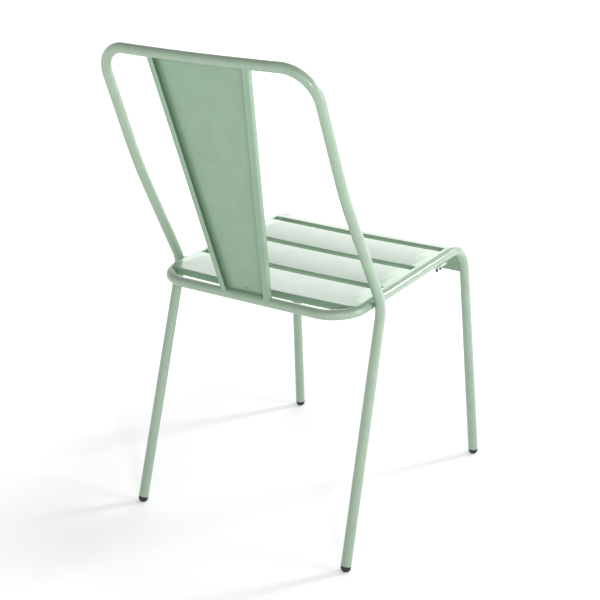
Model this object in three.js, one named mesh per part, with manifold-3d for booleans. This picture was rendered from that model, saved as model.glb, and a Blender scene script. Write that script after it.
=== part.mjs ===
// Stacking chair of bent steel tube with a slotted sheet seat and a folded sheet splat.
// Millimetres, +Z up, the sitter faces -Y, origin on the floor under the middle of the chair.
import * as THREE from "three";
import { mergeVertices } from "three/addons/utils/BufferGeometryUtils.js";
import Module from "manifold-3d";

const wasm = await Module();
wasm.setup();

// ---------------------------------------------------------------- dimensions
const tubeRadius = 9;
const tubeWall = 1.2;
const gap = 0.3; // clearance between pieces that touch
const sides = 24; // facets round a tube

const seatTubeHeight = 430; // centre line of the seat rails
const frontFoot = { x: 204, y: -255 };
const frontBend = { x: 189, y: -239 };
const rearCorner = { x: 197, y: 162 };
const frontBendRadius = 48;
const rearCornerRadius = 55;

const rearFoot = { x: 224, y: 223 };
const hipHeight = 429; // where the back tube turns from leg into upright
const hipY = 78;
const waist = { x: 211, y: 174, z: 638 };
const shoulder = { x: 210, y: 246, z: 856 };
const hipRadius = 60;
const waistRadius = 850;
const shoulderRadius = 58;
const railBow = 12;
const railBowRadius = 2000;

const footDome = 9; // height of a foot below the tube end
const stemLength = 18; // how far a foot plugs into its tube
const footFlat = 1; // radius of the flat under a foot
const footSink = 2; // the dome's lowest point before it is cut flat at the floor
const stemChamfer = 2;

const sheet = 1.5;
const panFrontY = -180;
const panRearY = 133;
const panEdge = 0.5; // how far the pan reaches past the rail centre line
const panCornerCut = 9;
const slotWidth = 15;
const slotFrontEdges = [-177, -74, 33];
const slotInset = 5; // from the rail centre line to the end of a slot
const lipDepth = 9; // height of the turned-down lips of a slot
const flangeDepth = 12; // height of the turned-down rear edge
const panRearBow = 5; // the pan's rear edge bulges this far between its corners
const apronDrop = 64.5; // from the pan down to the apron's lower edge
const apronRadius = 59; // the apron rolls over with the front bends of the rails

const splatSheet = 1.5;
const splatDepth = 11;
const splatLip = 11.5;
const splatBottom = { half: 49, y: 156.5, z: 426 };
const splatTop = { half: 100.5, y: 248, z: 856 };
const splatHole = { radius: 2.3, height: 21.5 };

const bumperY = -146.5;
const bumperLength = 22;
const bumperWall = 4;
const bumperArc = Math.PI / 3; // the pad covers this much of the rail either side of its bottom
const nub = { spacing: 12, length: 5, tip: 2, root: 2.6 };

const weld = { radius: 5, stretch: { x: 0.9, y: 1.7, z: 0.8 }, rise: 6, floor: 1 };

const railX = (y) =>
  frontBend.x + ((rearCorner.x - frontBend.x) * (y - frontBend.y)) / (rearCorner.y - frontBend.y);
const hip = { x: railX(hipY) + 2 * tubeRadius + gap, y: hipY, z: hipHeight };
const panBottom = seatTubeHeight + tubeRadius + gap;
const panTop = panBottom + sheet;

// ---------------------------------------------------------------- curves and solids
// A path of straight runs joined by round bends, sampled only where it bends.
class BentPath extends THREE.Curve {
  constructor(corners) {
    super();
    this.stations = [];
    corners.forEach((corner, i) => {
      if (i === 0 || i === corners.length - 1) {
        const other = i === 0 ? corners[1].point : corners[i - 1].point;
        const along = new THREE.Vector3().subVectors(other, corner.point).normalize();
        if (i > 0) along.negate();
        this.stations.push({ point: corner.point.clone(), tangent: along });
      } else {
        this.addBend(corners[i - 1].point, corner, corners[i + 1].point);
      }
    });
  }

  addBend(before, corner, after) {
    const into = new THREE.Vector3().subVectors(corner.point, before).normalize();
    const out = new THREE.Vector3().subVectors(after, corner.point).normalize();
    const angle = into.angleTo(out);
    const reach = corner.radius * Math.tan(angle / 2);
    const start = corner.point.clone().addScaledVector(into, -reach);
    const axis = new THREE.Vector3().crossVectors(into, out).normalize();
    const centre = start.clone().addScaledVector(new THREE.Vector3().crossVectors(axis, into), corner.radius);
    for (let k = 0; k <= corner.steps; k += 1) {
      const turn = (angle * k) / corner.steps;
      const point = start.clone().sub(centre).applyAxisAngle(axis, turn).add(centre);
      this.stations.push({ point, tangent: into.clone().applyAxisAngle(axis, turn) });
    }
  }

  get steps() {
    return this.stations.length - 1;
  }

  getUtoTmapping(u) {
    return u;
  }

  getPoint(t) {
    return this.stations[Math.round(t * this.steps)].point.clone();
  }

  getTangent(t) {
    return this.stations[Math.round(t * this.steps)].tangent.clone();
  }
}

function toManifold(geometry) {
  geometry.deleteAttribute("normal");
  geometry.deleteAttribute("uv");
  const welded = mergeVertices(geometry, 1e-5);
  return new wasm.Manifold(
    new wasm.Mesh({
      numProp: 3,
      vertProperties: new Float32Array(welded.attributes.position.array),
      triVerts: new Uint32Array(welded.index.array),
    }),
  );
}

function toGeometry(solid) {
  const mesh = solid.getMesh();
  const geometry = new THREE.BufferGeometry();
  const positions = new Float32Array((mesh.vertProperties.length / mesh.numProp) * 3);
  for (let i = 0; i < positions.length / 3; i += 1) {
    for (let k = 0; k < 3; k += 1) positions[3 * i + k] = mesh.vertProperties[i * mesh.numProp + k];
  }
  geometry.setAttribute("position", new THREE.BufferAttribute(positions, 3));
  geometry.setIndex(new THREE.BufferAttribute(new Uint32Array(mesh.triVerts), 1));
  return geometry;
}

const vector = (x, y, z) => new THREE.Vector3(x, y, z);
const bend = (point, radius, steps) => ({ point, radius, steps });
const end = (point) => ({ point });

function ring(radius) {
  const shape = new THREE.Shape();
  for (let k = 0; k < sides; k += 1) {
    const angle = (2 * Math.PI * (k + 0.5)) / sides;
    const method = k === 0 ? "moveTo" : "lineTo";
    shape[method](radius * Math.cos(angle), radius * Math.sin(angle));
  }
  shape.closePath();
  return shape;
}

function sweep(path, radius, boreRadius = 0) {
  const shape = ring(radius);
  if (boreRadius > 0) shape.holes.push(ring(boreRadius));
  return new THREE.ExtrudeGeometry(shape, { steps: path.steps, extrudePath: path, bevelEnabled: false });
}

const rod = (path, radius) => toManifold(sweep(path, radius));

function block(size, centre) {
  const geometry = new THREE.BoxGeometry(size.x, size.y, size.z);
  geometry.translate(centre.x, centre.y, centre.z);
  return toManifold(geometry);
}

// A flat outline given a thickness along its own Z axis.
const extrude = (shape, depth, curveSegments) =>
  new THREE.ExtrudeGeometry(shape, { depth, bevelEnabled: false, curveSegments });

// Upright slab: an outline in the XY plane raised from one height to another.
function slab(shape, low, high) {
  const geometry = extrude(shape, high - low, 10);
  geometry.translate(0, 0, low);
  return toManifold(geometry);
}

// ---------------------------------------------------------------- the two bent tubes
const legAxis = (top, foot) => vector(top.x - foot.x, top.y - foot.y, top.z).normalize();
const tubeEnd = (top, foot) =>
  vector(foot.x, foot.y, 0).addScaledVector(legAxis(top, foot), footDome + gap);
const mirrored = (corner) => ({ ...corner, point: vector(-corner.point.x, corner.point.y, corner.point.z) });
const bothSides = (half, middle = []) => [...half, ...middle, ...half.map(mirrored).reverse()];

const frontTop = { ...frontBend, z: seatTubeHeight };
const backPath = new BentPath(
  bothSides(
    [
      end(tubeEnd(hip, rearFoot)),
      bend(vector(hip.x, hip.y, hip.z), hipRadius, 5),
      bend(vector(waist.x, waist.y, waist.z), waistRadius, 4),
      bend(vector(shoulder.x, shoulder.y, shoulder.z), shoulderRadius, 8),
    ],
    [bend(vector(0, shoulder.y + railBow, shoulder.z), railBowRadius, 8)],
  ),
);
const seatPath = new BentPath(
  bothSides([
    end(tubeEnd(frontTop, frontFoot)),
    bend(vector(frontBend.x, frontBend.y, seatTubeHeight), frontBendRadius, 8),
    bend(vector(rearCorner.x, rearCorner.y, seatTubeHeight), rearCornerRadius, 8),
  ]),
);

const boreRadius = tubeRadius - tubeWall;

// ---------------------------------------------------------------- seat pan
function panOutline(inset) {
  const front = panFrontY;
  const rear = panRearY - inset;
  const frontX = railX(front) + panEdge - inset;
  const centre = { x: rearCorner.x - rearCornerRadius, y: rearCorner.y - rearCornerRadius };
  const radius = rearCornerRadius + panEdge - inset;
  const turn = Math.asin((rear - panCornerCut - centre.y) / radius);
  const cornerX = centre.x + Math.sqrt(radius ** 2 - (rear - centre.y) ** 2);
  const shape = new THREE.Shape();
  shape.moveTo(-frontX, front);
  shape.lineTo(frontX, front);
  shape.absarc(centre.x, centre.y, radius, 0, turn, false);
  shape.quadraticCurveTo(cornerX, rear, cornerX - panCornerCut, rear);
  shape.quadraticCurveTo(0, rear + 2 * panRearBow, panCornerCut - cornerX, rear);
  shape.quadraticCurveTo(-cornerX, rear, -centre.x - radius * Math.cos(turn), rear - panCornerCut);
  shape.absarc(-centre.x, centre.y, radius, Math.PI - turn, Math.PI, false);
  shape.closePath();
  return shape;
}

function slotOutline(front) {
  const slot = new THREE.Shape();
  const frontHalf = railX(front) - slotInset;
  const rearHalf = railX(front + slotWidth) - slotInset;
  slot.moveTo(-frontHalf, front);
  slot.lineTo(frontHalf, front);
  slot.lineTo(rearHalf, front + slotWidth);
  slot.lineTo(-rearHalf, front + slotWidth);
  slot.closePath();
  return slot;
}

// Front edge: rolls over between the rails and hangs down between the legs as an apron.
function apron() {
  const inner = apronRadius - sheet;
  const shape = new THREE.Shape();
  shape.moveTo(sheet, 0);
  shape.absarc(0, -apronRadius, apronRadius, Math.PI / 2, Math.PI, false);
  shape.lineTo(-apronRadius, -apronDrop);
  shape.lineTo(-inner, -apronDrop);
  shape.absarc(0, -apronRadius, inner, Math.PI, Math.PI / 2, true);
  shape.lineTo(sheet, -sheet);
  shape.closePath();
  const half = railX(panFrontY) - tubeRadius - gap - 1;
  const geometry = extrude(shape, 2 * half, 10);
  // the section's own x and y become the chair's Y and Z
  geometry.applyMatrix4(
    new THREE.Matrix4().set(0, 0, 1, -half, 1, 0, 0, panFrontY, 0, 1, 0, panTop, 0, 0, 0, 1),
  );
  return toManifold(geometry);
}

// Turned-down lip under the sheet along one edge of a slot.
function slotLip(edge, side) {
  const half = railX(edge) - slotInset;
  const centre = vector(0, edge + (side * sheet) / 2, panTop - lipDepth / 2);
  return block(vector(2 * half, sheet, lipDepth), centre);
}

function seatPan() {
  const behind = block(vector(600, 100, 60), vector(0, panRearY - panCornerCut + 50, panTop));
  let pan = slab(panOutline(0), panTop - flangeDepth, panTop)
    .subtract(slab(panOutline(sheet), panTop - flangeDepth - 1, panTop + 1))
    .intersect(behind)
    .add(slab(panOutline(0), panBottom, panTop));
  slotFrontEdges.forEach((front) => {
    pan = pan
      .subtract(slab(slotOutline(front), panBottom - 1, panTop + 1))
      .add(slotLip(front, -1))
      .add(slotLip(front + slotWidth, 1));
  });
  return toGeometry(pan.add(apron()).subtract(rod(seatPath, tubeRadius + gap)));
}

// ---------------------------------------------------------------- back splat
const splatRun = vector(0, splatTop.y - splatBottom.y, splatTop.z - splatBottom.z);
const splatLength = splatRun.length();
const splatLean = Math.atan2(splatRun.y, splatRun.z);

// Slab in the splat's own plane: x across, up the splat, depth to the rear.
function splatSlab(shape, front, rear) {
  const geometry = extrude(shape, rear - front, 8);
  geometry.translate(0, 0, front);
  geometry.applyMatrix4(new THREE.Matrix4().set(-1, 0, 0, 0, 0, 0, 1, 0, 0, 1, 0, 0, 0, 0, 0, 1));
  geometry.rotateX(-splatLean);
  geometry.translate(0, splatBottom.y, splatBottom.z);
  return toManifold(geometry);
}

function splatOutline(inset, over = 0) {
  const shape = new THREE.Shape();
  const grow = ((splatTop.half - splatBottom.half) * over) / splatLength;
  shape.moveTo(inset + grow - splatBottom.half, -over);
  shape.lineTo(splatBottom.half - inset - grow, -over);
  shape.lineTo(splatTop.half - inset + grow, splatLength + over);
  shape.lineTo(inset - splatTop.half - grow, splatLength + over);
  shape.closePath();
  return shape;
}

function backSplat() {
  const hole = new THREE.Shape();
  hole.absarc(0, splatHole.height, splatHole.radius, 0, 2 * Math.PI, false);
  const under = block(vector(300, 60, 60), vector(0, rearCorner.y, seatTubeHeight - 30));
  const splat = splatSlab(splatOutline(0), 0, splatDepth)
    .subtract(splatSlab(splatOutline(splatSheet, 20), splatSheet, splatDepth - splatSheet))
    .subtract(splatSlab(splatOutline(splatLip, 20), splatSheet, splatDepth + 1))
    .subtract(splatSlab(hole, -1, splatSheet + 1))
    .subtract(under)
    .subtract(rod(seatPath, tubeRadius + gap))
    .subtract(rod(backPath, tubeRadius + gap));
  return toGeometry(splat);
}

// ---------------------------------------------------------------- feet, bumpers, welds
function foot(top, at, side) {
  const stem = boreRadius - gap;
  const points = [new THREE.Vector2(0, -footSink)];
  for (let k = 0; k <= 6; k += 1) {
    const angle = (Math.PI / 2) * (k / 6);
    const reach = footFlat + (tubeRadius - footFlat) * Math.sin(angle);
    points.push(new THREE.Vector2(reach, footDome - (footDome + footSink) * Math.cos(angle)));
  }
  points.push(new THREE.Vector2(stem, footDome));
  points.push(new THREE.Vector2(stem, footDome + stemLength - stemChamfer));
  points.push(new THREE.Vector2(stem - stemChamfer, footDome + stemLength));
  points.push(new THREE.Vector2(0, footDome + stemLength));
  const geometry = new THREE.LatheGeometry(points, sides);
  geometry.applyQuaternion(new THREE.Quaternion().setFromUnitVectors(vector(0, 1, 0), legAxis(top, at)));
  geometry.translate(at.x, at.y, 0);
  const body = toManifold(geometry).subtract(block(vector(80, 80, 20), vector(at.x, at.y, -10)));
  return toGeometry(side < 0 ? body.mirror([1, 0, 0]) : body);
}

// Moulded pad under a seat rail with two nubs, which rests on the chair below in a stack.
function bumper(side) {
  const shape = new THREE.Shape();
  const inner = tubeRadius + gap;
  const outer = inner + bumperWall;
  const [from, to] = [-Math.PI / 2 - bumperArc, -Math.PI / 2 + bumperArc];
  shape.absarc(0, 0, outer, from, to, false);
  shape.absarc(0, 0, inner, to, from, true);
  shape.closePath();
  const pad = extrude(shape, bumperLength, 12);
  pad.translate(0, 0, -bumperLength / 2);
  pad.rotateX(Math.PI / 2);
  let body = toManifold(pad);
  [-1, 1].forEach((way) => {
    const peg = new THREE.CylinderGeometry(nub.tip, nub.root, nub.length, 16);
    peg.rotateX(-Math.PI / 2);
    peg.translate(0, (way * nub.spacing) / 2, 1 - outer - nub.length / 2);
    body = body.add(toManifold(peg));
  });
  const geometry = toGeometry(body);
  geometry.rotateZ(-side * Math.atan2(rearCorner.x - frontBend.x, rearCorner.y - frontBend.y));
  geometry.translate(side * railX(bumperY), bumperY, seatTubeHeight);
  return geometry;
}

// Weld filling the groove between a rail and the back tube beside it, along their upper side.
function hipWeld(side) {
  const bead = new THREE.SphereGeometry(weld.radius, 20, 12);
  bead.scale(weld.stretch.x, weld.stretch.y, weld.stretch.z);
  bead.translate((side * (hip.x + railX(hipY))) / 2, hipY, seatTubeHeight + weld.rise);
  const under = vector(side * hip.x, hipY, seatTubeHeight + weld.floor - 10);
  const besidePan = vector(side * (railX(hipY) + panEdge + gap - 20), hipY, panTop);
  const body = toManifold(bead)
    .subtract(rod(seatPath, tubeRadius + gap))
    .subtract(rod(backPath, tubeRadius + gap))
    .subtract(block(vector(60, 60, 20), under))
    .subtract(block(vector(40, 40, 40), besidePan));
  return toGeometry(body);
}

// ---------------------------------------------------------------- materials and assembly
const finish = (color, roughness) => new THREE.MeshStandardMaterial({ color, roughness, metalness: 0 });
const powderCoat = () => finish(0x8ba58e, 0.42);
const blackPlastic = () => finish(0x161616, 0.5);
const palePlastic = () => finish(0xd8dad6, 0.55);

const chair = new THREE.Group();
chair.name = "stacking_chair";

function addPiece(name, geometry, material) {
  const mesh = new THREE.Mesh(geometry, material);
  mesh.name = name;
  chair.add(mesh);
}

addPiece("back_frame", sweep(backPath, tubeRadius, boreRadius), powderCoat());
addPiece("seat_frame", sweep(seatPath, tubeRadius, boreRadius), powderCoat());
addPiece("seat_pan", seatPan(), powderCoat());
addPiece("back_splat", backSplat(), powderCoat());
[["right", -1], ["left", 1]].forEach(([name, side]) => {
  addPiece(`foot_front_${name}`, foot(frontTop, frontFoot, side), blackPlastic());
  addPiece(`foot_rear_${name}`, foot(hip, rearFoot, side), blackPlastic());
  addPiece(`stacking_bumper_${name}`, bumper(side), palePlastic());
  addPiece(`hip_weld_${name}`, hipWeld(side), powderCoat());
});

export default chair;
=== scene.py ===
import math

import bmesh
import bpy
from mathutils import Matrix, Quaternion, Vector


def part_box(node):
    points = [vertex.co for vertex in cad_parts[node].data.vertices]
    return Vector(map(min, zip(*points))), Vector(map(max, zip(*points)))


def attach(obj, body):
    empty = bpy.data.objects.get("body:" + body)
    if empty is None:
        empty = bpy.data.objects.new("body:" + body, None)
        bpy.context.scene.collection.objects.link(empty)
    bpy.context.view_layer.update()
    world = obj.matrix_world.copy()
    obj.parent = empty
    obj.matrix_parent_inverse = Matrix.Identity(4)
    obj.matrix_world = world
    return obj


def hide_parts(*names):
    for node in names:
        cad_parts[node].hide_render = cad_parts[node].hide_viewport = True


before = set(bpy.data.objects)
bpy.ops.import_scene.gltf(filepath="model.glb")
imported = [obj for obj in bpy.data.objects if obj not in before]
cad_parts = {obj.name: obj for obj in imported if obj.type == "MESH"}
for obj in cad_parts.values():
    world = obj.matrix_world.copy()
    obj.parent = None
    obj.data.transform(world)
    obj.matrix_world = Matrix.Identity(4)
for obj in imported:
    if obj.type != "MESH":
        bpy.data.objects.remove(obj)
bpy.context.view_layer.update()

# Stacking chair of bent steel tube with a slotted sheet seat and a folded sheet splat.
# The chair's sizes are in millimetres and become metres when a piece is made.
# The sitter faces -Y, +Z is up, and "right" is the sitter's right, at -X.
MM = 0.001


def node_box(name):
    """Lowest and highest corner of a CAD node, in millimetres."""
    low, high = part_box(name)
    return Vector(low) / MM, Vector(high) / MM


# ---------------------------------------------------------------- dimensions
TUBE_RADIUS = 9.0
TUBE_WALL = 1.2
BORE_RADIUS = TUBE_RADIUS - TUBE_WALL
GAP = 0.3  # clearance between neighbouring CAD pieces
SHEET = 1.5

seat_high = node_box("seat_frame")[1]
back_high = node_box("back_frame")[1]
pan_low, pan_high = node_box("seat_pan")

RAIL_Z = round(seat_high.z - TUBE_RADIUS)
HOOP_Y = round(seat_high.y - TUBE_RADIUS)
SHOULDER_Z = round(back_high.z - TUBE_RADIUS)
PAN_TOP = pan_high.z
PAN_REAR_BOW = 5  # how far the rear edge bulges between its corners
PAN_REAR = pan_high.y - PAN_REAR_BOW
PAN_DIP = 1.6
DIP_FADE = 70  # the dip dies out over this distance at the front and rear

FRONT_FOOT = Vector((204, -255, 0))
FRONT_BEND = Vector((189, -239, RAIL_Z))
REAR_CORNER = Vector((197, HOOP_Y, RAIL_Z))
FRONT_BEND_RADIUS = 48
REAR_CORNER_RADIUS = 55

REAR_FOOT = Vector((224, 223, 0))
HIP_Y = 78
WAIST = Vector((211, 174, 638))
SHOULDER = Vector((210, 246, SHOULDER_Z))
HIP_RADIUS = 60
WAIST_RADIUS = 850
SHOULDER_RADIUS = 58
RAIL_BOW = 12
RAIL_BOW_RADIUS = 2000

FOOT_DOME = 9.0  # height of a foot below the tube end
FOOT_FLAT = 0.5  # the dome's curve starts this far from the foot's axis
FOOT_COLLAR = 1.2  # height of the straight band between the dome and the tube
FOOT_SINK = 0.6  # with the collar, how far the whole dome would reach below the floor
STEM_LENGTH = 18
STEM_CHAMFER = 2

PAN_FRONT = -180  # where the flat sheet starts to roll over into the apron
PAN_EDGE = 0.5  # how far the sheet reaches past a rail's centre line
PAN_CORNER = 9
SLOT_WIDTH = 15
SLOT_FRONTS = (-177, -74, 33)
SLOT_INSET = 5  # from a rail's centre line to the end of a slot
SLOT_BEND = 1.8
LIP_DEPTH = 9
FLANGE_BEND = 2.4
FLANGE_DEPTH = 11.8
APRON_RADIUS = 59
APRON_DROP = PAN_TOP - pan_low.z

SPLAT_BOTTOM = Vector((49, 156.5, 426))
SPLAT_TOP = Vector((100.5, 248, 856))
SPLAT_DEPTH = 11
SPLAT_LIP = 11.5
SPLAT_BEND = 2.2
SPLAT_HOLE_RADIUS = 2.3
SPLAT_HOLE_HEIGHT = 21.5
SPLAT_START = 4.0  # the visible sheet starts this far up, inside the hoop's outline
HOLE_CELL = 6.0  # half size of the square patch round the hole

BUMPER_Y = -146.5
BUMPER_LENGTH = 22
BUMPER_WALL = 4
BUMPER_ARC = 60  # degrees of the rail covered on either side of its bottom
NUB_LENGTH = 7
NUB_SPACING = 12

# A weld bead's half width and height, and the points along its run.
SPLAT_BEAD = (3.2, 2.4)
SPLAT_BEAD_INSET = 3
SPLAT_BEAD_RUN = (-3, 2, 6)
PAN_BEAD = (2.2, 1.6)
PAN_BEADS_Y = (-130, -10, 90)
PAN_BEAD_RUN = (-12, -4, 4, 12)
APRON_BEAD = (1.8, 1.8)
APRON_BEAD_RUN = (2, 8, 14)
HIP_BEAD = (3.6, 2.2)
HIP_BEAD_RISE = 5.2
HIP_BEAD_RUN = (-10, -3, 3, 10)

SIDE_SIGNS = (("right", -1), ("left", 1))
SIDES = 48
PAN_COLUMNS = 24
TURN_STEP = math.radians(3)


def rail_x(y):
    """Distance of a seat rail's centre line from the middle of the chair."""
    along = (y - FRONT_BEND.y) / (REAR_CORNER.y - FRONT_BEND.y)
    return FRONT_BEND.x + (REAR_CORNER.x - FRONT_BEND.x) * along


HIP = Vector((rail_x(HIP_Y) + 2 * TUBE_RADIUS + GAP, HIP_Y, RAIL_Z - 1))


# ---------------------------------------------------------------- making pieces
def make_piece(name, vertices, faces, material, nodes=()):
    """A mesh object from points in millimetres, riding on the chair's only body."""
    mesh = bpy.data.meshes.new(name)
    mesh.from_pydata([Vector(v) * MM for v in vertices], [], faces)
    mesh.validate()
    mesh.polygons.foreach_set("use_smooth", [True] * len(mesh.polygons))
    mesh.materials.append(material)
    piece = bpy.data.objects.new(name, mesh)
    bpy.context.scene.collection.objects.link(piece)
    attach(piece, "root")
    if nodes:
        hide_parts(*nodes)
    return piece


def fix_normals(piece):
    work = bmesh.new()
    work.from_mesh(piece.data)
    bmesh.ops.recalc_face_normals(work, faces=work.faces)
    work.to_mesh(piece.data)
    work.free()


def soften_edges(piece, width):
    bevel = piece.modifiers.new("edges", "BEVEL")
    bevel.width = width * MM
    bevel.segments = 3
    bevel.limit_method = "ANGLE"
    bevel.angle_limit = math.radians(40)
    bevel.harden_normals = True


def thicken(piece, thickness):
    """Gives a surface the sheet's thickness on its inner side and softens the cut edges."""
    solid = piece.modifiers.new("thickness", "SOLIDIFY")
    solid.thickness = thickness * MM
    solid.offset = -1
    solid.use_even_offset = True
    soften_edges(piece, 0.3)


def grid_faces(rows, columns, close_rows=False, close_columns=False):
    """Quads between neighbouring points of a grid stored row by row."""
    faces = []
    for i in range(rows if close_rows else rows - 1):
        for j in range(columns if close_columns else columns - 1):
            below, above = i * columns, ((i + 1) % rows) * columns
            right = (j + 1) % columns
            faces.append((below + j, below + right, above + right, above + j))
    return faces


def mirrored(point):
    return Vector((-point.x, point.y, point.z))


# ---------------------------------------------------------------- bent tube
def bent_path(corners):
    """Points and directions along straight runs joined by round bends: (corner, radius) pairs."""
    stations = []
    points = [point for point, radius in corners]
    for i, (point, radius) in enumerate(corners):
        if i == 0:
            stations.append((point, (points[1] - point).normalized()))
            continue
        if i == len(corners) - 1:
            stations.append((point, (point - points[i - 1]).normalized()))
            continue
        into = (point - points[i - 1]).normalized()
        out = (points[i + 1] - point).normalized()
        angle = into.angle(out)
        axis = into.cross(out).normalized()
        start = point - into * radius * math.tan(angle / 2)
        centre = start + axis.cross(into) * radius
        steps = max(4, round(angle / TURN_STEP))
        for k in range(steps + 1):
            turn = Quaternion(axis, angle * k / steps)
            stations.append((centre + turn @ (start - centre), turn @ into))
    return stations


def carried_frames(stations):
    """Two directions across the path at each station, carried along without twist."""
    frames = []
    across = stations[0][1].orthogonal().normalized()
    for point, along in stations:
        across = (across - along * across.dot(along)).normalized()
        frames.append((across, along.cross(across)))
    return frames


def ring(point, frame_pair, radius):
    across, other = frame_pair
    angles = [2 * math.pi * k / SIDES for k in range(SIDES)]
    return [point + (across * math.cos(a) + other * math.sin(a)) * radius for a in angles]


def tube(name, stations, node, material):
    """Hollow tube whose cut ends have slightly rounded rims."""
    frames = carried_frames(stations)
    rim = TUBE_WALL / 2
    vertices = []
    rings = 0

    def add_ring(index, radius, push):
        nonlocal rings
        point, along = stations[index]
        vertices.extend(ring(point + along * push, frames[index], radius))
        rings += 1

    last = len(stations) - 1
    rounding = [math.radians(a) for a in (0, 30, 60, 90, 120, 150, 180)]
    for index, sign in ((last, 1), (0, -1)):
        run = range(len(stations)) if sign > 0 else range(last, -1, -1)
        middle = [i for i in run if 0 < i < last]
        radius = TUBE_RADIUS if sign > 0 else BORE_RADIUS
        for i in middle:
            add_ring(i, radius, 0)
        for angle in rounding:
            spread = math.cos(angle) * (rim if sign > 0 else -rim)
            add_ring(index, BORE_RADIUS + rim + spread, sign * rim * (math.sin(angle) - 1))
    piece = make_piece(name, vertices, grid_faces(rings, SIDES, True, True), material, [node])
    fix_normals(piece)
    return piece


def leg_axis(top, foot):
    return (top - foot).normalized()


def tube_end(top, foot):
    return foot + leg_axis(top, foot) * (FOOT_DOME + GAP)


def both_sides(half, middle=()):
    return [*half, *middle, *((mirrored(point), radius) for point, radius in reversed(half))]


def back_path():
    half = [
        (tube_end(HIP, REAR_FOOT), 0),
        (HIP, HIP_RADIUS),
        (WAIST, WAIST_RADIUS),
        (SHOULDER, SHOULDER_RADIUS),
    ]
    middle = Vector((0, SHOULDER.y + RAIL_BOW, SHOULDER.z))
    return bent_path(both_sides(half, [(middle, RAIL_BOW_RADIUS)]))


def seat_path():
    half = [
        (tube_end(FRONT_BEND, FRONT_FOOT), 0),
        (FRONT_BEND, FRONT_BEND_RADIUS),
        (REAR_CORNER, REAR_CORNER_RADIUS),
    ]
    return bent_path(both_sides(half))


# ---------------------------------------------------------------- seat pan
def pan_edge_line():
    """Half of the pan's outline from front to rear: point, outward direction, and how far the
    flange has grown there, from 0 to 1."""
    line = [(Vector((rail_x(PAN_FRONT) + PAN_EDGE, PAN_FRONT, 0)), Vector((1, 0, 0)), 0.0)]
    centre = Vector((REAR_CORNER.x - REAR_CORNER_RADIUS, REAR_CORNER.y - REAR_CORNER_RADIUS, 0))
    radius = REAR_CORNER_RADIUS + PAN_EDGE
    turn = math.asin((PAN_REAR - PAN_CORNER - centre.y) / radius)
    for k in range(9):
        angle = turn * k / 8
        out = Vector((math.cos(angle), math.sin(angle), 0))
        line.append((centre + out * radius, out, 0.0))
    start = line[-1][0]
    corner_x = centre.x + math.sqrt(radius**2 - (PAN_REAR - centre.y) ** 2)
    control = Vector((corner_x, PAN_REAR, 0))
    finish = Vector((corner_x - PAN_CORNER, PAN_REAR, 0))
    for k in range(1, 13):
        t = k / 12
        point = start * (1 - t) ** 2 + control * 2 * t * (1 - t) + finish * t**2
        along = (control - start) * (1 - t) + (finish - control) * t
        out = Vector((along.y, -along.x, 0)).normalized()
        line.append((point, out, min(1.0, 1.5 * t)))
    return line


def bend_down(point, out, radius, depth, steps=6):
    """Points of a sheet's outer face that turns straight down from the pan's top at this point."""
    column = []
    for k in range(1, steps + 1):
        angle = math.pi / 2 * k / steps
        drop = radius * (1 - math.cos(angle))
        column.append(point + out * radius * math.sin(angle) - Vector((0, 0, drop)))
    column.append(column[-1] - Vector((0, 0, max(0.0, depth - radius))))
    return column


class SheetSurface:
    """Outer face of a pressed sheet, gathered point by point."""

    def __init__(self):
        self.points = []
        self.faces = []

    def add(self, point):
        self.points.append(Vector(point))
        return len(self.points) - 1

    def strip(self, first, second):
        for a, b, c, d in zip(first, first[1:], second[1:], second):
            self.faces.append((a, b, c, d))

    def turned_edge(self, edge, columns):
        """Joins a row of points to the columns that hang down from them."""
        hung = [[start, *[self.add(p) for p in column]] for start, column in zip(edge, columns)]
        for left, right in zip(hung, hung[1:]):
            self.strip(left, right)


def pan_rows():
    """Places along Y where the flat sheet has a row of points, with its half width there."""
    rows = []
    for point, out, ramp in pan_edge_line():
        inner = point - out * FLANGE_BEND * ramp
        rows.append((inner.y, inner.x, out, ramp))
    for front in SLOT_FRONTS:
        for y in (front - SLOT_BEND, front + SLOT_WIDTH + SLOT_BEND):
            rows.append((y, rail_x(y) + PAN_EDGE, Vector((1, 0, 0)), 0.0))
    return sorted(rows, key=lambda row: row[0])


def apron_half(point):
    """Half width of the sheet here, where it rolls off the tops of the rails and between them."""
    leg = FRONT_BEND - FRONT_FOOT
    half_turn = (math.pi / 2 - math.atan2(leg.y, leg.z)) / 2
    centre_y = FRONT_BEND.y + FRONT_BEND_RADIUS * math.tan(half_turn)
    centre_z = RAIL_Z - FRONT_BEND_RADIUS
    if point.z > centre_z:
        off_axis = math.hypot(point.y - centre_y, point.z - centre_z) - FRONT_BEND_RADIUS
    else:
        off_axis = point.y - (FRONT_FOOT.y + leg.y * point.z / leg.z)
    sunk = math.sqrt(max(0, TUBE_RADIUS**2 - off_axis**2))
    return rail_x(PAN_FRONT) + PAN_EDGE - sunk


def dip(point):
    """How far the pan sags here: nothing at its edges, most along the middle."""
    across = 1 - min(1, abs(point.x) / (rail_x(point.y) - SLOT_INSET)) ** 2
    inward = min(point.y - PAN_FRONT + APRON_RADIUS, PAN_REAR - point.y)
    fade = min(1, max(0, inward / DIP_FADE))
    return PAN_DIP * across**1.5 * fade**2 * (3 - 2 * fade)


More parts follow.
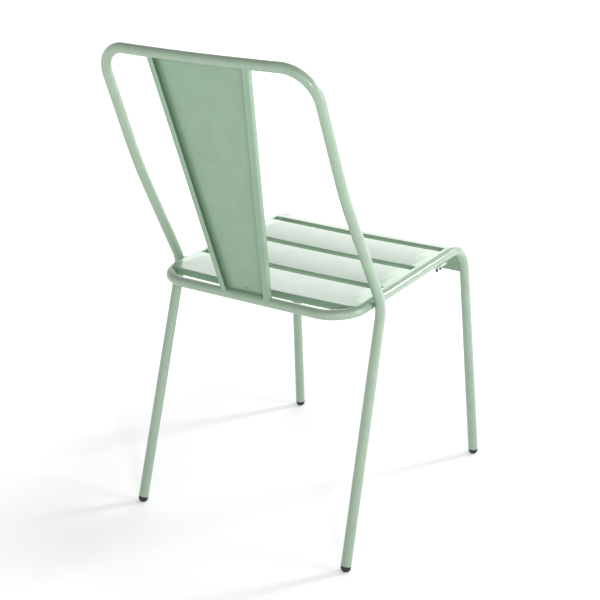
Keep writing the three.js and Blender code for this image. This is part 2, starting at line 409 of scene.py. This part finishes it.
def seat_pan(material):
    """Flat rows of the sheet first, then the slots' lips, the apron and the rear flange."""
    surface = SheetSurface()
    top = Vector((0, 0, PAN_TOP))
    rows = []
    for y, half, out, ramp in pan_rows():
        inner = min(rail_x(y) - SLOT_INSET, half - 2)
        across = [inner * (2 * k / PAN_COLUMNS - 1) for k in range(PAN_COLUMNS + 1)]
        xs = (-half, *across, half)
        rows.append((y, [surface.add(top + Vector((x, y, 0))) for x in xs], out, ramp))

    def in_slot(y):
        return any(f - SLOT_BEND < y < f + SLOT_WIDTH + SLOT_BEND for f in SLOT_FRONTS)

    for (y0, low, *_), (y1, high, *_) in zip(rows, rows[1:]):
        surface.strip(low[:2], high[:2])
        surface.strip(low[-2:], high[-2:])
        if not in_slot((y0 + y1) / 2):
            surface.strip(low[1:-1], high[1:-1])

    for front in SLOT_FRONTS:
        for edge_y, way in ((front - SLOT_BEND, 1), (front + SLOT_WIDTH + SLOT_BEND, -1)):
            edge = next(row[1:-1] for y, row, out, ramp in rows if abs(y - edge_y) < 0.01)
            out = Vector((0, way, 0))
            columns = [bend_down(surface.points[i], out, SLOT_BEND, LIP_DEPTH) for i in edge]
            surface.turned_edge(edge[::-way], columns[::-way])

    front_row = rows[0][1]
    out = Vector((0, -1, 0))
    columns = [bend_down(surface.points[i], out, APRON_RADIUS, APRON_DROP, 24) for i in front_row]
    full = rail_x(PAN_FRONT) + PAN_EDGE
    for column in columns:
        for point in column:
            point.x *= apron_half(point) / full
    surface.turned_edge(front_row, columns)

    last = rows[-1][1]
    corner_x = abs(surface.points[last[0]].x)
    for i in last:
        reach = min(1, abs(surface.points[i].x) / corner_x)
        surface.points[i].y += PAN_REAR_BOW * (1 - reach**2)
    turned = [(row[-1], out, ramp) for y, row, out, ramp in rows if ramp > 0]
    straight = [(i, Vector((0, 1, 0)), 1.0) for i in reversed(last[1:-1])]
    left = [(row[0], mirrored(out), ramp) for y, row, out, ramp in reversed(rows) if ramp > 0]
    flange = turned + straight + left
    columns = [
        bend_down(surface.points[i], out, FLANGE_BEND * ramp, FLANGE_DEPTH * ramp)
        for i, out, ramp in flange
    ]
    surface.turned_edge([i for i, out, ramp in flange], columns)
    for point in surface.points:
        point.z -= dip(point)

    piece = make_piece("seat_sheet", surface.points, surface.faces, material, ["seat_pan"])
    thicken(piece, SHEET)
    return piece


# ---------------------------------------------------------------- back splat
splat_run = Vector((0, SPLAT_TOP.y - SPLAT_BOTTOM.y, SPLAT_TOP.z - SPLAT_BOTTOM.z))
splat_up = splat_run.normalized()
splat_rear = Vector((1, 0, 0)).cross(splat_up) * -1


def splat_point(x, up, depth):
    """Point on the splat: across, up along it, and back from its front face."""
    base = Vector((0, SPLAT_BOTTOM.y, SPLAT_BOTTOM.z))
    return base + Vector((x, 0, 0)) + splat_up * up + splat_rear * depth


def splat_half(up):
    return SPLAT_BOTTOM.x + (SPLAT_TOP.x - SPLAT_BOTTOM.x) * up / splat_run.length


def fold_section(half):
    """Right side of the splat's outer face from the flat panel round to the end of its lip."""
    section = []
    bend = SPLAT_BEND
    for centre_depth, first in ((bend, -90), (SPLAT_DEPTH - bend, 0)):
        for k in range(7):
            angle = math.radians(first + 15 * k)
            x = half - bend + bend * math.cos(angle)
            section.append((x, centre_depth + bend * math.sin(angle)))
    section.append((half - SPLAT_LIP, SPLAT_DEPTH))
    return section


def back_splat(material):
    """Tapered sheet with folded sides, in three bands; the middle band has the hole."""
    surface = SheetSurface()
    cell_low, cell_high = SPLAT_HOLE_HEIGHT - HOLE_CELL, SPLAT_HOLE_HEIGHT + HOLE_CELL
    rows = []
    for up in (SPLAT_START, cell_low, cell_high, splat_run.length):
        right = fold_section(splat_half(up))
        cell = [(-HOLE_CELL, 0), (HOLE_CELL, 0)]
        columns = [(-x, d) for x, d in reversed(right)] + cell + right
        rows.append([surface.add(splat_point(x, up, d)) for x, d in columns])
    middle = len(rows[0]) // 2
    for low, high in zip(rows, rows[1:]):
        if low is rows[1]:
            surface.strip(low[:middle], high[:middle])
            surface.strip(low[middle:], high[middle:])
        else:
            surface.strip(low, high)

    corners = [rows[1][middle - 1], rows[1][middle], rows[2][middle], rows[2][middle - 1]]
    count = 32
    hole = []
    for k in range(count):
        angle = math.radians(225) + 2 * math.pi * k / count
        x = SPLAT_HOLE_RADIUS * math.cos(angle)
        up = SPLAT_HOLE_HEIGHT + SPLAT_HOLE_RADIUS * math.sin(angle)
        hole.append(surface.add(splat_point(x, up, 0)))
    quarter = count // 4
    for side in range(4):
        corner, following = corners[side], corners[(side + 1) % 4]
        half_way = side * quarter + quarter // 2
        for k in range(side * quarter, half_way):
            surface.faces.append((corner, hole[(k + 1) % count], hole[k % count]))
        for k in range(half_way, (side + 1) * quarter):
            surface.faces.append((following, hole[(k + 1) % count], hole[k % count]))
        surface.faces.append((corner, following, hole[half_way % count]))

    piece = make_piece("splat_sheet", surface.points, surface.faces, material, ["back_splat"])
    thicken(piece, SHEET)
    return piece


# ---------------------------------------------------------------- welds
def bead(name, points, width, height, up, material, nodes=()):
    """Rippled weld bead along a line of points, round in section and pointed at both ends."""
    vertices = []
    sides = 16
    ripple, ripple_height = 2.2, 0.07
    length = (points[-1] - points[0]).length
    steps = max(24, round(length / ripple) * 8)
    for k in range(steps + 1):
        t = k / steps
        place = t * (len(points) - 1)
        i = min(int(place), len(points) - 2)
        point = points[i].lerp(points[i + 1], place - i)
        along = (points[i + 1] - points[i]).normalized()
        lift = (up - along * up.dot(along)).normalized()
        side = along.cross(lift)
        taper = math.sqrt(max(1e-4, 1 - (2 * t - 1) ** 4))
        swell = taper * (1 + ripple_height * math.cos(2 * math.pi * t * length / ripple))
        for j in range(sides):
            angle = 2 * math.pi * j / sides
            sideways = side * math.cos(angle) * width * swell
            vertices.append(point + sideways + lift * math.sin(angle) * height * swell)
    faces = grid_faces(steps + 1, sides, False, True)
    faces.append(tuple(range(sides)))
    faces.append(tuple(range(steps * sides, (steps + 1) * sides)))
    piece = make_piece(name, vertices, faces, material, nodes)
    fix_normals(piece)
    return piece


def frame_welds(material):
    """Short beads that hold the splat on the hoop and the pan on the rails."""
    beads = []
    up = Vector((0, 0, 1))
    rim_z = RAIL_Z + TUBE_RADIUS
    for name, side in SIDE_SIGNS:
        foot_x = side * (SPLAT_BOTTOM.x - SPLAT_BEAD_INSET)
        run = [Vector((foot_x, HOOP_Y + d, rim_z - 0.2)) for d in SPLAT_BEAD_RUN]
        beads.append(bead(f"splat_foot_bead_{name}", run, *SPLAT_BEAD, up, material))
        for k, y in enumerate(PAN_BEADS_Y):
            x = side * (rail_x(y) - TUBE_RADIUS * 0.62)
            run = [Vector((x, y + d, PAN_TOP - SHEET - 1.0)) for d in PAN_BEAD_RUN]
            beads.append(bead(f"pan_bead_{name}_{k + 1}", run, *PAN_BEAD, up, material))
        corner_x = side * (rail_x(PAN_FRONT) - TUBE_RADIUS - 0.8)
        low = PAN_TOP - APRON_DROP
        front = PAN_FRONT - APRON_RADIUS + SHEET
        run = [Vector((corner_x, front, low + d)) for d in APRON_BEAD_RUN]
        beads.append(bead(f"apron_bead_{name}", run, *APRON_BEAD, Vector((0, 1, 0)), material))
    return beads


def hip_bead(name, side, material):
    """Bead in the groove between a rail and the back tube that passes it."""
    x = side * (HIP.x + rail_x(HIP_Y)) / 2
    run = [Vector((x, HIP_Y + d, RAIL_Z + HIP_BEAD_RISE)) for d in HIP_BEAD_RUN]
    up = Vector((0, 0, 1))
    return bead(f"hip_bead_{name}", run, *HIP_BEAD, up, material, [f"hip_weld_{name}"])


# ---------------------------------------------------------------- feet and bumpers
def revolve(name, profile, axis, origin, material, nodes, sides=SIDES):
    """Solid turned about an axis from (radius, height) pairs; nothing reaches below the floor."""
    turn = Vector((0, 0, 1)).rotation_difference(axis)
    vertices = []
    for radius, height in profile:
        for k in range(sides):
            angle = 2 * math.pi * k / sides
            local = Vector((radius * math.cos(angle), radius * math.sin(angle), height))
            place = origin + turn @ local
            place.z = max(place.z, 0)
            vertices.append(place)
    faces = grid_faces(len(profile), sides, False, True)
    faces.append(tuple(range(sides)))
    faces.append(tuple(range((len(profile) - 1) * sides, len(profile) * sides)))
    piece = make_piece(name, vertices, faces, material, nodes)
    fix_normals(piece)
    return piece


def foot(name, top, at, material, node):
    """Plastic plug: a domed tread below the tube's end and a stem inside its bore."""
    stem = BORE_RADIUS - GAP
    stem_top = FOOT_DOME + STEM_LENGTH
    profile = []
    for k in range(1, 13):
        angle = math.radians(90) * k / 12
        radius = FOOT_FLAT + (TUBE_RADIUS - FOOT_FLAT) * math.sin(angle)
        drop = (FOOT_DOME + FOOT_SINK) * math.cos(angle)
        profile.append((radius, FOOT_DOME - FOOT_COLLAR - drop))
    for inward, below in ((0, 0.4), (0.12, 0.12), (0.4, 0)):
        profile.append((TUBE_RADIUS - inward, FOOT_DOME - below))
    profile.append((stem + 0.1, FOOT_DOME))
    profile.append((stem, FOOT_DOME + 0.1))
    profile.append((stem, stem_top - STEM_CHAMFER))
    profile.append((stem - STEM_CHAMFER, stem_top))
    return revolve(name, profile, leg_axis(top, at), at, material, [node])


def bumper(name, side, material, node):
    """Moulded pad under a seat rail."""
    inner = TUBE_RADIUS + GAP
    outer = inner + BUMPER_WALL
    arc = [math.radians(-90 - BUMPER_ARC + BUMPER_ARC * k / 12) for k in range(25)]
    outline = [(outer * math.cos(a), outer * math.sin(a)) for a in arc]
    outline += [(inner * math.cos(a), inner * math.sin(a)) for a in reversed(arc)]
    splay = math.atan2(REAR_CORNER.x - FRONT_BEND.x, REAR_CORNER.y - FRONT_BEND.y)
    turn = Matrix.Rotation(-side * splay, 3, "Z")
    centre = Vector((side * rail_x(BUMPER_Y), BUMPER_Y, RAIL_Z))
    vertices = []
    for y in (-BUMPER_LENGTH / 2, BUMPER_LENGTH / 2):
        vertices += [centre + turn @ Vector((x, y, z)) for x, z in outline]
    count = len(outline)
    faces = grid_faces(2, count, False, True)
    half = count // 2
    for k in range(half - 1):
        faces.append((k, k + 1, count - 2 - k, count - 1 - k))
        faces.append((count + k, count + k + 1, 2 * count - 2 - k, 2 * count - 1 - k))
    piece = make_piece(name, vertices, faces, material, [node])
    fix_normals(piece)
    soften_edges(piece, 0.6)
    return piece


def bumper_nub(name, side, step, material):
    """Short dark peg that hangs from a pad, fore or aft of its middle."""
    y = BUMPER_Y + step * NUB_SPACING / 2
    tip = RAIL_Z - TUBE_RADIUS - GAP - BUMPER_WALL - NUB_LENGTH
    profile = [(1.0, 0), (1.8, 0.2), (2.2, 0.7), (2.4, 1.6), (2.6, NUB_LENGTH + 1)]
    at = Vector((side * rail_x(y), y, tip))
    return revolve(name, profile, Vector((0, 0, 1)), at, material, [], 32)


# ---------------------------------------------------------------- materials
def new_material(name, colour, roughness):
    material = bpy.data.materials.new(name)
    material.use_nodes = True
    shader = material.node_tree.nodes["Principled BSDF"]
    shader.inputs["Base Color"].default_value = (*colour, 1)
    shader.inputs["Roughness"].default_value = roughness
    return material, shader


def noise(material, scale, detail=2.0):
    nodes, links = material.node_tree.nodes, material.node_tree.links
    place = nodes.new("ShaderNodeTexCoord")
    texture = nodes.new("ShaderNodeTexNoise")
    texture.inputs["Scale"].default_value = scale
    texture.inputs["Detail"].default_value = detail
    links.new(place.outputs["Object"], texture.inputs["Vector"])
    return texture.outputs["Fac"]


def spread(material, value, low, high):
    """Maps the middle of a noise to a range of numbers."""
    node = material.node_tree.nodes.new("ShaderNodeMapRange")
    node.inputs["From Min"].default_value = 0.3
    node.inputs["From Max"].default_value = 0.7
    node.inputs["To Min"].default_value = low
    node.inputs["To Max"].default_value = high
    material.node_tree.links.new(value, node.inputs["Value"])
    return node.outputs["Result"]


def bump(material, height, strength, distance, under=None):
    node = material.node_tree.nodes.new("ShaderNodeBump")
    node.inputs["Strength"].default_value = strength
    node.inputs["Distance"].default_value = distance * MM
    material.node_tree.links.new(height, node.inputs["Height"])
    if under is not None:
        material.node_tree.links.new(under, node.inputs["Normal"])
    return node.outputs["Normal"]


def between(material, value, first, second):
    """Colour that runs from the first to the second as the value goes from 0 to 1."""
    node = material.node_tree.nodes.new("ShaderNodeMix")
    node.data_type = "RGBA"
    node.inputs["A"].default_value = (*first, 1)
    node.inputs["B"].default_value = (*second, 1)
    material.node_tree.links.new(value, node.inputs["Factor"])
    return node.outputs["Result"]


SAGE = (0.182, 0.290, 0.193)
# Painted sheen: the tubes and welds carry the same coat as the sheets, here made lighter and greyer
# in place of the reflection they show.
SAGE_WITH_PAINTED_SHEEN = (0.235, 0.325, 0.241)
EDGE_HIGHLIGHT_GAIN = 1.9  # painted highlight: the coat's colour is made this much lighter on sharp edges


def powder_coat(name, colour, grain, peel):
    """Satin powder coat: soft orange peel, fine grain, a faint change of tone, painted edge
    highlights.
    """
    material, shader = new_material(name, colour, 0.4)
    links = material.node_tree.links
    tone = spread(material, noise(material, 35, 3), 0, 1)
    darker = tuple(0.96 * c for c in colour)
    lighter = tuple(1.04 * c for c in colour)
    body = between(material, tone, darker, lighter)
    # Painted highlight: where pointiness finds a sharp edge, the base colour is made lighter in
    # place of the light the edge catches.
    shape = material.node_tree.nodes.new("ShaderNodeNewGeometry")
    edge = spread(material, shape.outputs["Pointiness"], 0, 1)
    edge.node.inputs["From Min"].default_value = 0.53
    edge.node.inputs["From Max"].default_value = 0.62
    coat_with_painted_edge_highlight = between(material, edge, colour, tuple(EDGE_HIGHLIGHT_GAIN * c for c in colour))
    links.new(body, coat_with_painted_edge_highlight.node.inputs["A"])
    links.new(coat_with_painted_edge_highlight, shader.inputs["Base Color"])
    links.new(spread(material, noise(material, 900), 0.34, 0.46), shader.inputs["Roughness"])
    fine = bump(material, noise(material, 2600, 1), grain, 0.02)
    links.new(bump(material, noise(material, 420, 1), peel, 0.05, fine), shader.inputs["Normal"])
    shader.inputs["Coat Weight"].default_value = 0.5
    shader.inputs["Coat Roughness"].default_value = 0.14
    return material


def moulded(name, colour, roughness, grain):
    material, shader = new_material(name, colour, roughness)
    links = material.node_tree.links
    rough = spread(material, noise(material, 700), roughness - 0.08, roughness + 0.08)
    links.new(rough, shader.inputs["Roughness"])
    links.new(bump(material, noise(material, 3000), grain, 0.03), shader.inputs["Normal"])
    return material


# ---------------------------------------------------------------- the chair
def build_chair():
    # The tube and weld coats use the sage with painted sheen; the sheets use the plain sage.
    tube_coat_painted_sheen = powder_coat("coat_on_tube_painted_sheen", SAGE_WITH_PAINTED_SHEEN, 0.25, 0.3)
    sheet_coat = powder_coat("coat_on_sheet", SAGE, 0.3, 0.4)
    weld_coat_painted_sheen = powder_coat("coat_on_weld_painted_sheen", SAGE_WITH_PAINTED_SHEEN, 0.3, 0.3)
    black = moulded("glide_plastic", (0.004, 0.004, 0.005), 0.34, 0.2)
    pale = moulded("bumper_plastic", (0.5, 0.53, 0.49), 0.5, 0.2)
    dark = moulded("bumper_nub", (0.01, 0.01, 0.01), 0.5, 0.2)

    pieces = {
        "coat": [
            tube("back_tube", back_path(), "back_frame", tube_coat_painted_sheen),
            tube("seat_tube", seat_path(), "seat_frame", tube_coat_painted_sheen),
            seat_pan(sheet_coat),
            back_splat(sheet_coat),
        ],
        "glide": [],
        "bumper": [],
    }
    for name, side in SIDE_SIGNS:
        mirror = mirrored if side < 0 else Vector
        for end_name, top, at in (("front", FRONT_BEND, FRONT_FOOT), ("rear", HIP, REAR_FOOT)):
            title = f"{end_name}_{name}"
            made = foot(f"glide_{title}", mirror(top), mirror(at), black, f"foot_{title}")
            pieces["glide"].append(made)
        pieces["bumper"].append(bumper(f"bumper_{name}", side, pale, f"stacking_bumper_{name}"))
        for way, step in (("fore", -1), ("aft", 1)):
            pieces["bumper"].append(bumper_nub(f"bumper_nub_{way}_{name}", side, step, dark))
        pieces["coat"].append(hip_bead(name, side, weld_coat_painted_sheen))
    pieces["coat"] += frame_welds(weld_coat_painted_sheen)


# ---------------------------------------------------------------- stage, light and camera, in metres
def stage_floor():
    """White floor that glows more away from the chair, so that shadows show near its feet only."""
    size = 30
    corners = [(-size, -size, 0), (size, -size, 0), (size, size, 0), (-size, size, 0)]
    mesh = bpy.data.meshes.new("floor")
    mesh.from_pydata(corners, [], [(0, 1, 2, 3)])
    floor = bpy.data.objects.new("floor", mesh)
    bpy.context.scene.collection.objects.link(floor)
    material, shader = new_material("studio_white", (0.8, 0.8, 0.8), 0.9)
    shader.inputs["Specular IOR Level"].default_value = 0.0
    shader.inputs["Emission Color"].default_value = (1, 1, 1, 1)
    nodes, links = material.node_tree.nodes, material.node_tree.links
    place = nodes.new("ShaderNodeTexCoord")
    distance = nodes.new("ShaderNodeVectorMath")
    distance.operation = "LENGTH"
    glow = nodes.new("ShaderNodeMapRange")
    glow.inputs["From Min"].default_value = 0.45
    glow.inputs["From Max"].default_value = 1.1
    glow.inputs["To Min"].default_value = 0.22
    glow.inputs["To Max"].default_value = 0.75
    links.new(place.outputs["Object"], distance.inputs[0])
    links.new(distance.outputs["Value"], glow.inputs["Value"])
    links.new(glow.outputs["Result"], shader.inputs["Emission Strength"])
    mesh.materials.append(material)


def soft_box(name, place, target, size, power):
    light = bpy.data.lights.new(name, "AREA")
    light.shape = "RECTANGLE"
    light.size, light.size_y = size
    light.energy = power
    lamp = bpy.data.objects.new(name, light)
    lamp.location = place
    lamp.rotation_mode = "QUATERNION"
    lamp.rotation_quaternion = (Vector(target) - Vector(place)).to_track_quat("-Z", "Y")
    bpy.context.scene.collection.objects.link(lamp)


HORIZON_LIGHT = 1.2
OVERHEAD_LIGHT = 0.1


def light_studio():
    """A world that is bright at the horizon and dim overhead, and five soft boxes."""
    world = bpy.data.worlds.new("studio")
    world.use_nodes = True
    nodes, links = world.node_tree.nodes, world.node_tree.links
    backdrop = nodes["Background"]
    backdrop.inputs["Color"].default_value = (1, 1, 1, 1)
    direction = nodes.new("ShaderNodeTexCoord")
    parts = nodes.new("ShaderNodeSeparateXYZ")
    fade = nodes.new("ShaderNodeMapRange")
    fade.inputs["To Min"].default_value = HORIZON_LIGHT
    fade.inputs["To Max"].default_value = OVERHEAD_LIGHT
    links.new(direction.outputs["Generated"], parts.inputs["Vector"])
    links.new(parts.outputs["Z"], fade.inputs["Value"])
    links.new(fade.outputs["Result"], backdrop.inputs["Strength"])
    bpy.context.scene.world = world
    middle = (0, 0, 0.45)
    soft_box("far_bank", (1.4, -3.4, 1.7), middle, (3.4, 2.2), 54)
    soft_box("key", (-1.9, -3.0, 2.2), middle, (0.6, 0.6), 72)
    soft_box("right_bank", (-3.1, -0.8, 1.0), middle, (1.0, 1.8), 42)
    soft_box("camera_bank", (-1.7, 3.3, 2.0), middle, (2.4, 1.6), 18)
    soft_box("glint", (-2.3, 2.05, 1.5), middle, (0.35, 0.35), 22)


CAMERA_AZIMUTH = 215.3
CAMERA_ELEVATION = 20.8
CAMERA_DISTANCE = 2.5967
CAMERA_TARGET = Vector((0, -0.041, 0.420))
CAMERA_TURN = 0.74
CAMERA_TILT = 1.35
CAMERA_ROLL = -2.36
LENS = 87.04
SENSOR_WIDTH = 36


def toward(azimuth, elevation):
    """Unit vector from the chair to a viewer at these angles, in degrees."""
    a, e = math.radians(azimuth), math.radians(elevation)
    return Vector((math.sin(a) * math.cos(e), -math.cos(a) * math.cos(e), math.sin(e)))


def place_camera():
    data = bpy.data.cameras.new("camera")
    data.sensor_width = SENSOR_WIDTH
    data.lens = LENS
    camera = bpy.data.objects.new("camera", data)
    back = toward(CAMERA_AZIMUTH + CAMERA_TURN, CAMERA_ELEVATION + CAMERA_TILT)
    level = Vector((0, 0, 1)).cross(back).normalized()
    roll = Quaternion(back, math.radians(CAMERA_ROLL))
    right = roll @ level
    up = back.cross(right)
    camera.matrix_world = Matrix((right, up, back)).transposed().to_4x4()
    camera.location = CAMERA_TARGET + toward(CAMERA_AZIMUTH, CAMERA_ELEVATION) * CAMERA_DISTANCE
    bpy.context.scene.collection.objects.link(camera)
    bpy.context.scene.camera = camera


place_camera()
bpy.context.scene.view_settings.view_transform = "Standard"
stage_floor()
light_studio()
build_chair()

bpy.context.view_layer.update()
